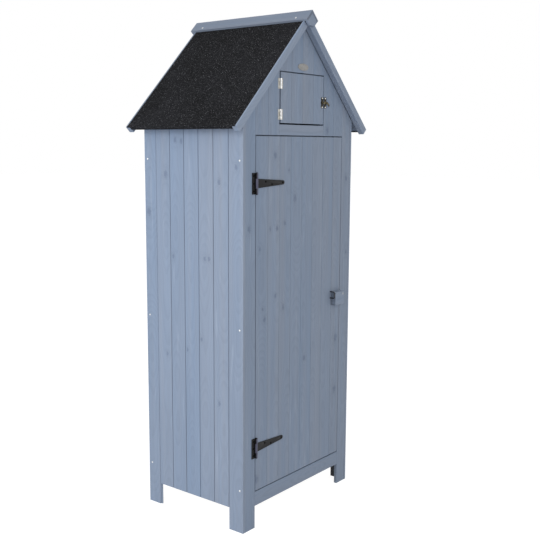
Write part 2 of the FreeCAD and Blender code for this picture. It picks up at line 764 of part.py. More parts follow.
def make_staple():
    """Steel loop that stands on the door beside the turn block."""
    level = turn_z + turn_up + staple_rise - staple_height / 2
    half = staple_height / 2 - staple_wire
    far = front - staple_reach + staple_wire
    bend = 2.2 * staple_wire
    inside = front + staple_depth
    middle = bend * (1 - math.sqrt(0.5))
    points = [(inside, level + half), (far + bend, level + half), (far + middle, level + half - middle),
              (far, level + half - bend), (far, level - half + bend), (far + middle, level - half + middle),
              (far + bend, level - half), (inside, level - half)]
    path = [FreeCAD.Vector(staple_x, y, z) for y, z in points]
    edges = [Part.makeLine(path[0], path[1]), Part.Arc(path[1], path[2], path[3]).toShape(),
             Part.makeLine(path[3], path[4]), Part.Arc(path[4], path[5], path[6]).toShape(),
             Part.makeLine(path[6], path[7])]
    section = Part.Wire([Part.makeCircle(staple_wire, path[0], FreeCAD.Vector(0, 1, 0))])
    nodes["door_staple"] = [Part.Wire(edges).makePipeShell([section], True, True)]
    for height in (level - half, level + half):
        drill(["main_door_boards"], staple_wire + drill_play, staple_depth + drill_play,
              (staple_x, front, height), (0, -1, 0))


def make_oval_plate():
    """Blank oval plate on the gable."""
    middle = (small_left + small_right) / 2
    centre = FreeCAD.Vector(middle, front - oval_thickness, gable_top_bottom + oval_above_door)
    ellipse = Part.Ellipse(centre + FreeCAD.Vector(oval_half_width, 0, 0),
                           centre + FreeCAD.Vector(0, 0, oval_half_height), centre)
    face = Part.Face(Part.Wire([ellipse.toShape()]))
    nodes["oval_plate"] = [face.extrude(FreeCAD.Vector(0, oval_thickness, 0))]


def make_wall_screws():
    """Screws through the leg boards into the corner posts, and in the ridge cap."""
    lowest = wall_screw_height
    highest = gable_bottom - wall_screw_below_gable
    heights = (lowest, (lowest + highest) / 2, highest)
    for name, side in (("left", -1), ("right", 1)):
        for board, y in (("_front_leg_board", front + wall_screw_inset),
                         ("_back_leg_board", back - wall_screw_inset)):
            places = [(side * half_width, y, height) for height in heights]
            set_screws("carcass_screws", wall_screw, places, (side, 0, 0), [name + board, "corner_posts"])
        x, z = slope_point(side, cap_screw_slope - cap_board_thickness, -felt_thickness - cap_board_thickness)
        y = cap_half_length - cap_screw_inset
        places = [(x, -y, z), (x, y, z)]
        outward = (side * sin_slope, 0, cos_slope)
        set_screws("carcass_screws", roof_screw, places, outward, ["ridge_cap_" + name])


make_side_wall("left", -1)
make_side_wall("right", 1)
make_front()
make_back()
make_frame()
make_floors()
make_roof()
make_main_door()
make_small_door()
make_t_hinge("lower", hinge_heights[0])
make_t_hinge("upper", hinge_heights[1])
for small_level in small_hinge_heights:
    make_small_hinge(small_level)
make_box_latch()
make_turn_block()
make_staple()
make_oval_plate()
make_wall_screws()

os.makedirs("parts", exist_ok=True)
for node_name, solids in nodes.items():
    shape = solids[0] if len(solids) == 1 else Part.makeCompound(solids)
    shape.exportStep("parts/" + node_name + ".step")
print(len(nodes), "nodes")
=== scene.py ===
# Garden storage cabinet: stained board walls, felt roof, two doors, iron and brass fittings
import math

import bmesh
import bpy
import numpy as np
from mathutils import Matrix, Vector


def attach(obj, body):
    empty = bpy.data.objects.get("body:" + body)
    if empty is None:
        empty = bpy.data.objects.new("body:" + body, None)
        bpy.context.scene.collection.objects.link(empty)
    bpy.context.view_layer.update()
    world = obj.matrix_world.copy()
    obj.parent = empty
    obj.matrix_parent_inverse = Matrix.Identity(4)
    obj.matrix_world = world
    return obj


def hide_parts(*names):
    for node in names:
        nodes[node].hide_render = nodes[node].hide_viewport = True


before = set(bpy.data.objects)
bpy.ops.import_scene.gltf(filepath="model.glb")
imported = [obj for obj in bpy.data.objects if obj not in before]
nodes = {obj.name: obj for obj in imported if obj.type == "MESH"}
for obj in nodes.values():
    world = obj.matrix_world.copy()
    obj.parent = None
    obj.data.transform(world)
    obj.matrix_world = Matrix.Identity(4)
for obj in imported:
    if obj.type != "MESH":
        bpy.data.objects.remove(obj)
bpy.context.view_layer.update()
scene = bpy.context.scene
mm = 0.001
print("frame loaded,", len(nodes), "nodes")


def addNode(tree, kind, values=None, **settings):
    node = tree.nodes.new(kind)
    for key, value in settings.items():
        setattr(node, key, value)
    for key, value in (values or {}).items():
        if isinstance(value, bpy.types.NodeSocket):
            tree.links.new(value, node.inputs[key])
        else:
            node.inputs[key].default_value = value
    return node


# the first output of a new node
def result(tree, kind, values=None, **settings):
    return addNode(tree, kind, values, **settings).outputs[0]


def calc(tree, operation, *terms, clamp=False):
    return result(tree, "ShaderNodeMath", dict(enumerate(terms)), operation=operation, use_clamp=clamp)


def times(tree, first, second):
    return calc(tree, "MULTIPLY", first, second)


def minus(tree, first, second):
    return calc(tree, "SUBTRACT", first, second)


# the start value and each value times its weight, added up
def addUp(tree, total, *weighted):
    for value, weight in weighted:
        total = calc(tree, "MULTIPLY_ADD", value, weight, total)
    return total


def vectorCalc(tree, operation, *terms):
    return result(tree, "ShaderNodeVectorMath", dict(enumerate(terms)), operation=operation)


def splitPlace(tree, vector):
    return addNode(tree, "ShaderNodeSeparateXYZ", {0: vector}).outputs


def joinPlace(tree, *terms):
    return result(tree, "ShaderNodeCombineXYZ", dict(enumerate(terms)))


def between(tree, value, low, high, toLow=0.0, toHigh=1.0, smooth=True):
    node = addNode(tree, "ShaderNodeMapRange", {0: value, 1: low, 2: high, 3: toLow, 4: toHigh})
    node.interpolation_type = "SMOOTHSTEP" if smooth else "LINEAR"
    return node.outputs[0]


def noise(tree, place, scale=1.0, detail=2.0, roughness=0.5, dimensions="3D"):
    node = addNode(tree, "ShaderNodeTexNoise", noise_dimensions=dimensions,
                   values={"Scale": scale, "Detail": detail, "Roughness": roughness})
    tree.links.new(place, node.inputs["W" if dimensions == "1D" else "Vector"])
    return node.outputs[0]


def mixColour(tree, share, first, second, blend="MIX"):
    node = addNode(tree, "ShaderNodeMix", data_type="RGBA", blend_type=blend,
                   values={0: share, 6: first, 7: second})
    return node.outputs[2]


def readAttribute(tree, name, socket="Vector"):
    return addNode(tree, "ShaderNodeAttribute", attribute_name=name).outputs[socket]


def linear(value):
    return value / 12.92 if value <= 0.04045 else ((value + 0.055) / 1.055) ** 2.4


def paint(red, green, blue):
    return tuple(linear(value / 255) for value in (red, green, blue)) + (1.0,)


def startMaterial(name):
    material = bpy.data.materials.new(name)
    material.use_nodes = True
    tree = material.node_tree
    return material, tree, tree.nodes["Principled BSDF"]


def addBump(tree, shader, height, strength, depth):
    bump = addNode(tree, "ShaderNodeBump", {"Height": height, "Strength": strength, "Distance": depth})
    tree.links.new(bump.outputs[0], shader.inputs["Normal"])


def setRoughness(tree, shader, wave, level, spread):
    tree.links.new(calc(tree, "MULTIPLY_ADD", wave, spread, level - spread / 2), shader.inputs["Roughness"])


# attributes that hold the middle of up to three placed knots on a board
knotLabels = ("knotA", "knotB", "knotC")


# boards carry their own grain place, and a random shift, tone and tint for each board
def woodMaterial(name, look):
    material, tree, shader = startMaterial(name)
    grain, shift = readAttribute(tree, "grain"), readAttribute(tree, "shift")
    tone, tint, endGrain, edge, under = (
        readAttribute(tree, label, "Fac") for label in ("tone", "tint", "endGrain", "edge", "under"))
    place = splitPlace(tree, grain)
    chance = splitPlace(tree, shift)
    moved = vectorCalc(tree, "MULTIPLY_ADD", shift, look["shiftReach"], grain)

    def centred(value):
        return minus(tree, value, 0.5)

    def boardNoise(label, detail=2.0, roughness=0.5):
        return noise(tree, vectorCalc(tree, "MULTIPLY", moved, look[label]), 1.0, detail, roughness)

    # knots: flattened cells along the board, of which a few hold a knot
    movedPlace = splitPlace(tree, moved)
    knotPlace = joinPlace(tree, movedPlace[0], times(tree, movedPlace[2], look["knotFlat"]))
    cells = addNode(tree, "ShaderNodeTexVoronoi", voronoi_dimensions="2D", values={
        "Vector": knotPlace, "Scale": 1 / look["knotSpacing"], "Randomness": look["knotJitter"]}).outputs
    cellChance = splitPlace(tree, cells["Color"])
    bare = minus(tree, 1.0, calc(tree, "GREATER_THAN", cellChance[0], 1 - look["knotShare"]))
    away = times(tree, cells["Distance"], look["knotSpacing"])
    radius = between(tree, cellChance[1], 0.0, 1.0, *look["knotRadius"], smooth=False)
    reach = addUp(tree, calc(tree, "DIVIDE", away, radius), (bare, look["noKnot"]))

    # and knots in chosen places, kept by each board as attributes
    here = addNode(tree, "ShaderNodeTexCoord").outputs["Object"]
    radii = splitPlace(tree, readAttribute(tree, "knotSizes"))
    for number, label in enumerate(knotLabels):
        apart = vectorCalc(tree, "SUBTRACT", here, readAttribute(tree, label))
        flat = vectorCalc(tree, "MULTIPLY", apart, (1.0, 1.0, look["knotFlat"]))
        length = addNode(tree, "ShaderNodeVectorMath", operation="LENGTH", values={0: flat}).outputs["Value"]
        radius = calc(tree, "MAXIMUM", radii[number], look["leastRadius"])
        reach = calc(tree, "MINIMUM", reach, calc(tree, "DIVIDE", length, radius))
    ragged = noise(tree, here, look["raggedScale"], 2.0, 0.6)
    reach = addUp(tree, reach, (centred(ragged), look["raggedReach"]))
    knot = between(tree, reach, *look["knotEdge"], 1.0, 0.0)
    knotRim = times(
        tree, between(tree, reach, *look["rimIn"]), between(tree, reach, *look["rimOut"], 1.0, 0.0))
    fall = times(tree, times(tree, reach, reach), look["pullFall"])
    pull = calc(tree, "POWER", look["pullBase"], fall)

    # growth rings of a flat-sawn board: arches in the middle, straight lines at its sides
    heartPlace = addUp(tree, place[2], (chance[2], look["heartSpread"]))
    heartWave = noise(tree, heartPlace, look["heartScale"], 2.0, dimensions="1D")
    heart = addUp(tree, 0.0, (chance[0], look["heartStart"]), (heartWave, look["heartDepth"]))
    aside = addUp(tree, place[0], (centred(chance[1]), look["heartAside"]))
    deep = calc(tree, "ADD", heart, place[1])
    ringRadius = calc(tree, "SQRT", addUp(tree, 0.0, (aside, aside), (deep, deep)))
    wander = boardNoise("wander")
    ringPlace = addUp(tree, ringRadius, (wander, look["wanderDepth"]), (pull, look["pullDepth"]))
    ring = calc(tree, "FRACT", calc(tree, "DIVIDE", ringPlace, look["ringWidth"]))
    late = times(
        tree, between(tree, ring, *look["ringRise"]), between(tree, ring, *look["ringFall"], 1.0, 0.0))
    fibre = boardNoise("fibre")
    streak = boardNoise("streak", 3.0, 0.6)
    patch = boardNoise("patch")
    shade = addUp(
        tree, 1.0, (late, -look["ringDepth"]), (centred(fibre), look["fibreDepth"]),
        (centred(streak), look["streakDepth"]), (centred(patch), look["patchDepth"]),
        (tone, look["toneDepth"]), (pull, -look["knotShade"]), (knotRim, -look["knotShade"]),
        (edge, -look["edgeDepth"]), (endGrain, -look["endGrainDepth"]))

    # painted shade: marked faces are darkened below the floor
    low = between(tree, splitPlace(tree, here)[2], *look["underShadeLevels"], look["underShadeDepth"], 0.0)
    shade = times(tree, shade, minus(tree, 1.0, times(tree, under, low)))

    # the stain took unevenly: cool and warm bands along the board, and a few pale ones
    band = calc(tree, "MULTIPLY_ADD", boardNoise("band"), look["bandShare"], look["bandLevel"])
    warmth = calc(tree, "MULTIPLY_ADD", tint, look["tintShare"], band, clamp=True)
    stain = mixColour(tree, warmth, look["stainCool"], look["stainWarm"])
    paleShare = between(tree, boardNoise("paleSpot"), *look["paleRange"], 0.0, look["paleShare"])
    stain = mixColour(tree, paleShare, stain, look["pale"])
    shadeColour = result(tree, "ShaderNodeCombineColor", {0: shade, 1: shade, 2: shade})
    colour = mixColour(tree, 1.0, stain, shadeColour, "MULTIPLY")
    colour = mixColour(tree, times(tree, knot, look["knotMix"]), colour, look["knotColour"])
    tree.links.new(colour, shader.inputs["Base Color"])
    setRoughness(tree, shader, streak, look["roughness"], look["roughSpread"])
    shader.inputs["Specular IOR Level"].default_value = look["specular"]
    height = addUp(
        tree, 0.0, (knot, look["knotHeight"]), (late, look["ringHeight"]), (fibre, look["fibreHeight"]))
    addBump(tree, shader, height, look["bumpStrength"], look["bumpDepth"])
    return material


# how deep, wide or steep each mark of the wood is; triples are scales across, through and along the board
stainLook = dict(
    stainCool=paint(128, 143, 164), stainWarm=paint(138, 147, 162), pale=paint(162, 172, 188),
    paleShare=0.4, knotColour=paint(92, 103, 127), knotMix=0.5, knotShade=0.07,
    ringWidth=4.6 * mm, ringDepth=0.055, fibreDepth=0.11, streakDepth=0.2, patchDepth=0.13,
    toneDepth=0.035, edgeDepth=0.34, endGrainDepth=0.16, underShadeDepth=0.86, underShadeLevels=(84 * mm, 92 * mm),
    knotSpacing=0.13, knotShare=0.13, knotJitter=0.9, knotFlat=0.62, knotRadius=(4.5 * mm, 8.5 * mm),
    noKnot=30.0, leastRadius=1e-5, raggedScale=150.0, raggedReach=2.6, knotEdge=(0.6, 1.2),
    rimIn=(0.7, 1.0), rimOut=(1.0, 1.7), pullBase=2.718, pullFall=-0.16, pullDepth=9 * mm,
    heartSpread=40.0, heartScale=1.6, heartDepth=0.09, heartStart=0.03, heartAside=0.045,
    wanderDepth=5 * mm, ringRise=(0.3, 0.88), ringFall=(0.9, 1.0), bandShare=1.6, bandLevel=-0.55,
    tintShare=0.5, paleRange=(0.62, 0.78), roughness=0.6, roughSpread=0.16, specular=0.35,
    fibreHeight=0.45, ringHeight=0.4, knotHeight=-0.5, bumpStrength=0.3, bumpDepth=0.5 * mm,
    shiftReach=(9.0, 7.0, 11.0), fibre=(620.0, 620.0, 11.0), streak=(70.0, 70.0, 1.9),
    patch=(14.0, 14.0, 3.2), wander=(30.0, 30.0, 3.5), band=(38.0, 38.0, 0.9), paleSpot=(60.0, 60.0, 4.2),
)
innerLook = dict(
    stainLook, stainCool=paint(203, 174, 132), stainWarm=paint(214, 184, 146), pale=paint(226, 202, 166),
    knotColour=paint(122, 80, 50), knotMix=0.85, ringDepth=0.16, edgeDepth=0.12, roughness=0.66)
stainedFir = woodMaterial("stainedFir", stainLook)
plainFir = woodMaterial("plainFir", innerLook)

# wear and grit that all the metals share
metalWear = dict(wornRange=(0.38, 0.7), gritRange=(0.5, 0.8), roughSpread=0.2, bumpDepth=0.15 * mm)


def metalMaterial(name, look):
    material, tree, shader = startMaterial(name)
    place = addNode(tree, "ShaderNodeTexCoord").outputs["Object"]
    cloud = noise(tree, place, look["cloudScale"], 3.0, 0.6)
    grit = noise(tree, place, look["gritScale"], 2.0, 0.7)
    colour = mixColour(tree, between(tree, cloud, *metalWear["wornRange"]), look["colour"], look["worn"])
    dirt = times(tree, between(tree, grit, *metalWear["gritRange"]), look["gritShare"])
    colour = mixColour(tree, dirt, colour, look["dirt"])
    # a painted highlight, on the faces that carry one
    if "paintedHighlight" in look:
        colour = mixColour(tree, readAttribute(tree, "paintedHighlight", "Fac"), colour, look["paintedHighlight"])
    tree.links.new(colour, shader.inputs["Base Color"])
    shader.inputs["Metallic"].default_value = look["metal"]
    shader.inputs["Specular IOR Level"].default_value = look["sheen"]
    setRoughness(tree, shader, cloud, look["roughness"], metalWear["roughSpread"])
    addBump(tree, shader, grit, look["bump"], metalWear["bumpDepth"])
    return material


ironLook = dict(
    colour=paint(14, 14, 15), worn=paint(22, 22, 24), dirt=paint(8, 8, 8), metal=0.0,
    sheen=0.17, roughness=0.34, cloudScale=60.0, gritScale=900.0, gritShare=0.35, bump=0.3)
zincLook = dict(
    colour=paint(228, 227, 222), worn=paint(206, 204, 197), dirt=paint(160, 156, 146), metal=0.75,
    sheen=0.5, roughness=0.36, cloudScale=120.0, gritScale=1300.0, gritShare=0.25, bump=0.2)
brassLook = dict(
    colour=paint(54, 50, 40), worn=paint(24, 22, 19), dirt=paint(12, 11, 10), metal=0.6,
    sheen=0.3, roughness=0.45, cloudScale=160.0, gritScale=1100.0, gritShare=0.4, bump=0.4)
plateLook = dict(
    colour=paint(152, 150, 147), worn=paint(140, 139, 137), dirt=paint(118, 116, 112), metal=0.5,
    sheen=0.5, roughness=0.42, cloudScale=90.0, gritScale=1500.0, gritShare=0.3, bump=0.15)
blackIron = metalMaterial("blackIron", ironLook)
# black iron with a painted highlight on the hinge barrels
ironWithPaintedHighlight = metalMaterial("ironWithPaintedHighlight", dict(ironLook, paintedHighlight=paint(86, 86, 103)))
ironScrew = metalMaterial("ironScrew", dict(
    ironLook, sheen=0.03, colour=paint(9, 9, 9), worn=paint(12, 12, 12)))
stapleSteel = metalMaterial("stapleSteel", dict(
    ironLook, sheen=0.4, colour=paint(38, 40, 46), worn=paint(56, 58, 64)))
zincSteel = metalMaterial("zincSteel", zincLook)
# zinc hinge leaves with a painted highlight on the small barrels
zincLeafWithPaintedHighlight = metalMaterial("zincLeafWithPaintedHighlight", dict(
    zincLook, colour=paint(196, 194, 188), worn=paint(180, 178, 170), paintedHighlight=paint(240, 240, 240)))
dullZinc = metalMaterial("dullZinc", dict(
    zincLook, colour=paint(158, 163, 168), worn=paint(146, 151, 157), metal=0.4, sheen=0.3))
agedBrass = metalMaterial("agedBrass", brassLook)
hookBrass = metalMaterial("hookBrass", dict(
    brassLook, colour=paint(106, 98, 72), worn=paint(72, 67, 52), dirt=paint(26, 24, 19), roughness=0.42))
satinPlate = metalMaterial("satinPlate", plateLook)

feltLook = dict(
    black=paint(22, 22, 23), grey=paint(30, 30, 32), grit=paint(104, 104, 107), fleck=paint(146, 146, 150),
    sandScale=1400.0, coarseScale=330.0, coarseRange=(0.5, 0.75), coarseMix=0.12,
    cloudScale=6.0, cloudRange=(0.35, 0.7), gritSize=2.4 * mm, gritShare=0.45, gritEdge=(0.25, 0.5),
    gritMix=0.6, fleckSize=3.2 * mm, fleckShare=0.14, fleckEdge=(0.2, 0.36), faintest=0.3,
    roughness=0.95, specular=0.05, bump=0.6, bumpDepth=0.5 * mm,
)


def feltMaterial(look):
    material, tree, shader = startMaterial("mineralFelt")
    place = addNode(tree, "ShaderNodeTexCoord").outputs["Object"]
    sand = noise(tree, place, look["sandScale"], 2.0, 0.7)
    coarse = between(tree, noise(tree, place, look["coarseScale"], 2.0, 0.6), *look["coarseRange"])
    cloud = between(tree, noise(tree, place, look["cloudScale"], 3.0, 0.55), *look["cloudRange"])

    def specks(kind):
        size, share, border = (look[kind + label] for label in ("Size", "Share", "Edge"))
        cells = addNode(tree, "ShaderNodeTexVoronoi", {"Vector": place, "Scale": 1 / size}).outputs
        chance = splitPlace(tree, cells["Color"])
        lies = calc(tree, "GREATER_THAN", chance[0], 1 - share)
        strength = calc(tree, "MULTIPLY_ADD", chance[1], 1 - look["faintest"], look["faintest"])
        inside = between(tree, cells["Distance"], *border, 1.0, 0.0)
        return times(tree, times(tree, lies, strength), inside)

    grit, fleck = specks("grit"), specks("fleck")
    colour = mixColour(tree, cloud, look["black"], look["grey"])
    colour = mixColour(tree, times(tree, coarse, look["coarseMix"]), colour, look["grit"])
    colour = mixColour(tree, times(tree, grit, look["gritMix"]), colour, look["grit"])
    colour = mixColour(tree, fleck, colour, look["fleck"])
    tree.links.new(colour, shader.inputs["Base Color"])
    shader.inputs["Roughness"].default_value = look["roughness"]
    shader.inputs["Specular IOR Level"].default_value = look["specular"]
    height = calc(tree, "ADD", sand, calc(tree, "ADD", grit, fleck))
    addBump(tree, shader, height, look["bump"], look["bumpDepth"])
    return material


mineralFelt = feltMaterial(feltLook)
print("materials ready")


def keepPiece(piece, body, slotName, *cadNodes):
    scene.collection.objects.link(piece)
    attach(piece, body)
    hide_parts(*cadNodes)


# the first output of a new geometry node
def shape(tree, kind, values=None, **settings):
    return result(tree, "GeometryNode" + kind, values, **settings)


def startTree(name, sockets):
    tree = bpy.data.node_groups.new(name, "GeometryNodeTree")
    for label, kind in sockets.items():
        tree.interface.new_socket(name=label, in_out="INPUT", socket_type="NodeSocket" + kind)
    tree.interface.new_socket(name="Geometry", in_out="OUTPUT", socket_type="NodeSocketGeometry")
    return tree, addNode(tree, "NodeGroupInput").outputs


def endTree(tree, geometry, material):
    painted = shape(tree, "SetMaterial", {"Geometry": geometry, "Material": material})
    addNode(tree, "NodeGroupOutput", {0: painted})
    return tree


def joined(tree, *parts):
    join = addNode(tree, "GeometryNodeJoinGeometry")
    for part in parts:
        tree.links.new(part, join.inputs[0])
    return join.outputs[0]


def transformed(tree, geometry, **change):
    return shape(tree, "Transform", {"Geometry": geometry, **change})


def store(tree, geometry, name, value, kind="FLOAT", domain="POINT"):
    values = {"Geometry": geometry, "Name": name, "Value": value}
    return shape(tree, "StoreNamedAttribute", values, data_type=kind, domain=domain)


def stored(tree, name, kind="FLOAT"):
    return shape(tree, "InputNamedAttribute", {"Name": name}, data_type=kind)


# a random value node shows only the sockets of its own kind
def openSocket(sockets, name=None):
    return [socket for socket in sockets if socket.enabled and name in (None, socket.name)][0]


def grow(name, tree, values, startMesh=None):
    holder = bpy.data.objects.new(name + "Start", startMesh or bpy.data.meshes.new(name + "Start"))
    scene.collection.objects.link(holder)
    modifier = holder.modifiers.new("grow", "NODES")
    modifier.node_group = tree
    for item in tree.interface.items_tree:
        if item.in_out == "INPUT" and item.name in values:
            modifier[item.identifier] = values[item.name]
    graph = bpy.context.evaluated_depsgraph_get()
    mesh = bpy.data.meshes.new_from_object(
        holder.evaluated_get(graph), preserve_all_data_layers=True, depsgraph=graph)
    mesh.name = name
    holder.modifiers.remove(modifier)
    bpy.data.objects.remove(holder)
    return bpy.data.objects.new(name, mesh)


# what all the runs of boards share; a tongue is one unit high until it is lifted to its wall
rowShape = dict(
    thickness=12 * mm, jointGap=0.4 * mm, roofPeak=1765.164 * mm, roofSlope=1.00701,
    tongue=(9 * mm, 3.6 * mm, 1.0), edgeBand=1.5 * mm)


# a run of tongue and groove boards: rounded section, raised to its height, cut to the roof line
def boardRowTree():
    tree, given = startTree("boardRow", {
        "Boards": "Int", "First Width": "Float", "Board Width": "Float", "Last Width": "Float",
        "Thickness": "Float", "Joint Gap": "Float", "Edge Round": "Float", "Bottom": "Float", "Top": "Float",
        "Roof Peak": "Float", "Roof Slope": "Float", "Place": "Vector", "Turn": "Float", "Seed": "Int",
        "Material": "Material"})
    firstWidth, boardWidth, jointGap = given["First Width"], given["Board Width"], given["Joint Gap"]
    index = shape(tree, "InputIndex")
    here = shape(tree, "InputPosition")
    last = minus(tree, given["Boards"], 1.0)
    isFirst = calc(tree, "LESS_THAN", index, 0.5)
    isLast = calc(tree, "GREATER_THAN", index, minus(tree, last, 0.5))
    width = addUp(tree, boardWidth, (isFirst, minus(tree, firstWidth, boardWidth)),
                  (isLast, minus(tree, given["Last Width"], boardWidth)))
    start = addUp(tree, firstWidth, (minus(tree, index, 1.0), boardWidth))
    start = times(tree, minus(tree, 1.0, isFirst), start)
    middle = joinPlace(tree, addUp(tree, start, (width, 0.5)))
    points = shape(tree, "Points", {"Count": given["Boards"], "Position": middle})

    flatWidth = minus(tree, boardWidth, jointGap)
    section = shape(tree, "CurvePrimitiveQuadrilateral", {"Width": flatWidth, "Height": given["Thickness"]})
    corners = {"Curve": section, "Count": 3, "Radius": given["Edge Round"]}
    flat = shape(tree, "FillCurve", {0: shape(tree, "FilletCurve", corners, mode="POLY")}, mode="NGONS")
    rise = {"Mesh": flat, "Offset": (0.0, 0.0, 1.0), "Offset Scale": 1.0, "Individual": False}
    raised = shape(tree, "ExtrudeMesh", rise, mode="FACES")
    under = shape(tree, "FlipFaces", {"Mesh": flat})
    board = shape(tree, "MergeByDistance", {"Geometry": joined(tree, raised, under), "Distance": 1e-6})
    board = store(tree, board, "local", here, "FLOAT_VECTOR")
    stretch = calc(tree, "DIVIDE", minus(tree, width, jointGap), flatWidth)
    size = joinPlace(tree, stretch, 1.0, 1.0)
    row = shape(tree, "InstanceOnPoints", {"Points": points, "Instance": board, "Scale": size})
    for label, kind, low, high, seedShift in (
            ("tone", "FLOAT", -1.0, 1.0, 0.0), ("tint", "FLOAT", 0.0, 1.0, 31.0),
            ("shift", "FLOAT_VECTOR", (0.0, 0.0, 0.0), (1.0, 1.0, 1.0), 57.0)):
        chance = addNode(tree, "FunctionNodeRandomValue", data_type=kind)
        openSocket(chance.inputs, "Min").default_value = low
        openSocket(chance.inputs, "Max").default_value = high
        tree.links.new(calc(tree, "ADD", given["Seed"], seedShift), chance.inputs["Seed"])
        row = store(tree, row, label, openSocket(chance.outputs), kind, "INSTANCE")

    # a tongue behind each joint
    jointPlace = joinPlace(tree, addUp(tree, firstWidth, (index, boardWidth)))
    joints = shape(tree, "Points", {"Count": last, "Position": jointPlace})
    strip = shape(tree, "MeshCube", {"Size": rowShape["tongue"]})
    strip = transformed(tree, strip, Translation=(0.0, 0.0, 0.5))
    tongues = shape(tree, "InstanceOnPoints", {"Points": joints, "Instance": strip})
    solid = shape(tree, "RealizeInstances", {"Geometry": joined(tree, row, tongues)})

    # turn the run to its wall, then lift every board from its foot to its top
    turned = result(
        tree, "ShaderNodeVectorRotate", {"Vector": here, "Angle": given["Turn"]}, rotation_type="Z_AXIS")
    put = splitPlace(tree, vectorCalc(tree, "ADD", turned, given["Place"]))
    level = splitPlace(tree, here)[2]
    roofFall = times(tree, calc(tree, "ABSOLUTE", put[0]), given["Roof Slope"])
    topHere = calc(tree, "MINIMUM", given["Top"], minus(tree, given["Roof Peak"], roofFall))
    lifted = addUp(tree, given["Bottom"], (level, minus(tree, topHere, given["Bottom"])))
    place = joinPlace(tree, put[0], put[1], lifted)
    stood = shape(tree, "SetPosition", {"Geometry": solid, "Position": place})

    # what the wood material reads: place in the grain, share of the rounded edge, sawn ends
    local = splitPlace(tree, stored(tree, "local", "FLOAT_VECTOR"))
    stood = store(tree, stood, "grain", joinPlace(tree, local[0], local[1], level), "FLOAT_VECTOR")
    halfFlat = minus(tree, times(tree, boardWidth, 0.5), given["Edge Round"])
    pastFlat = minus(tree, calc(tree, "ABSOLUTE", local[0]), halfFlat)
    stood = store(tree, stood, "edge", between(tree, pastFlat, 0.0, rowShape["edgeBand"], smooth=False))
    facing = splitPlace(tree, shape(tree, "InputNormal"))[2]
    isEnd = calc(tree, "GREATER_THAN", calc(tree, "ABSOLUTE", facing), 0.6)
    stood = store(tree, stood, "endGrain", isEnd, domain="FACE")
    return endTree(tree, stood, given["Material"])


boardRow = boardRowTree()


def findIslands(mesh):
    mesh.verts.ensure_lookup_table()
    mesh.verts.index_update()
    label = [-1] * len(mesh.verts)
    groups = []
    for vert in mesh.verts:
        if label[vert.index] >= 0:
            continue
        label[vert.index] = len(groups)
        waiting, group = [vert], []
        while waiting:
            current = waiting.pop()
            group.append(current)
            for link in current.link_edges:
                other = link.other_vert(current)
                if label[other.index] < 0:
                    label[other.index] = len(groups)
                    waiting.append(other)
        groups.append(group)
    return groups


# knots that the photo shows, up to three on a board: place across, level and radius, in millimetres;
# x or y is the face of the boards that they lie on
boardKnots = {
    "leftWallBoards": {"x": -320, "knots": [
        (77.3, 1347.6, 6.1), (48.2, 1344.2, 4.7), (126.3, 1229.7, 7.2), (-125.2, 1209.4, 5.8),
        (92.2, 942.3, 4.3), (-57.7, 945.1, 4.7), (-77.9, 946.5, 4.3), (-123.4, 446.2, 4.5),
        (-40.7, 660.6, 4.0), (127.5, 584.0, 3.8), (27.2, 614.4, 3.6)]},
    "leftFrontLeg": {"x": -320, "knots": [(-200.0, 1260.5, 5)]},
    "mainDoorBoards": {"y": -230, "knots": [
        (-138.5, 1048.9, 5), (-176.4, 1047.1, 4), (-93.6, 1063.4, 4), (-232.2, 982.5, 4.3),
        (-145.5, 813.3, 4.7), (-101.6, 766.8, 5.4), (-72.0, 1246.4, 3.6), (-205.8, 738.4, 5),
        (-216.9, 775.1, 3.8)]},
    "rightFrontStile": {"y": -230, "knots": [(287.3, 1209.2, 5), (294.4, 924.4, 4.3)]},
}


def setKnots(data, chosen):
    mesh = bmesh.new()
    mesh.from_mesh(data)
    layers = [mesh.verts.layers.float_vector.new(label) for label in (*knotLabels, "knotSizes")]
    places = [(np.array((chosen.get("x", across), chosen.get("y", across), level)) * mm, radius * mm)
              for across, level, radius in chosen["knots"]]
    for group in findIslands(mesh):
        points = np.array([vert.co for vert in group])
        low, high = points.min(0) - mm, points.max(0) + mm
        inside = [(place, radius) for place, radius in places
                  if (low <= place).all() and (place <= high).all()]
        radii = Vector((0, 0, 0))
        for number, (place, radius) in enumerate(inside[:len(knotLabels)]):
            radii[number] = radius
            for vert in group:
                vert[layers[number]] = Vector(place)
        for vert in group:
            vert[layers[-1]] = radii
    mesh.to_mesh(data)
    mesh.free()


def joinPieces(name, parts):
    mesh = bmesh.new()
    for part in parts:
        mesh.from_mesh(part.data)
    data = bpy.data.meshes.new(name)
    mesh.to_mesh(data)
    mesh.free()
    for material in parts[0].data.materials:
        data.materials.append(material)
    for part in parts:
        bpy.data.objects.remove(part)
    return bpy.data.objects.new(name, data)


# sizes of the board walls, in millimetres as in the CAD; boards past the roof are cut by the roof line
front, side, back, foot, pastRoof = -224.0, 314.0, 224.0, 80.0, 1800.0
wallBoard, backBoard, dividerBoard = 67.7, 66.5, 65.5
sideStart, sideEnd = 172.7, -165.8
gable = dict(half=256.0, bottom=1365.123, aboveDoor=1580.123)
door = dict(left=-253.6, pitch=64.386, last=56.5, gap=2.4, bottom=136.0, top=1361.123)
loftDoor = dict(bottom=1406.623, top=1576.123, edgeBoard=61.986, opening=-128.429)
pitch = door["pitch"]
joints = [door["left"] + pitch * number for number in range(8)]

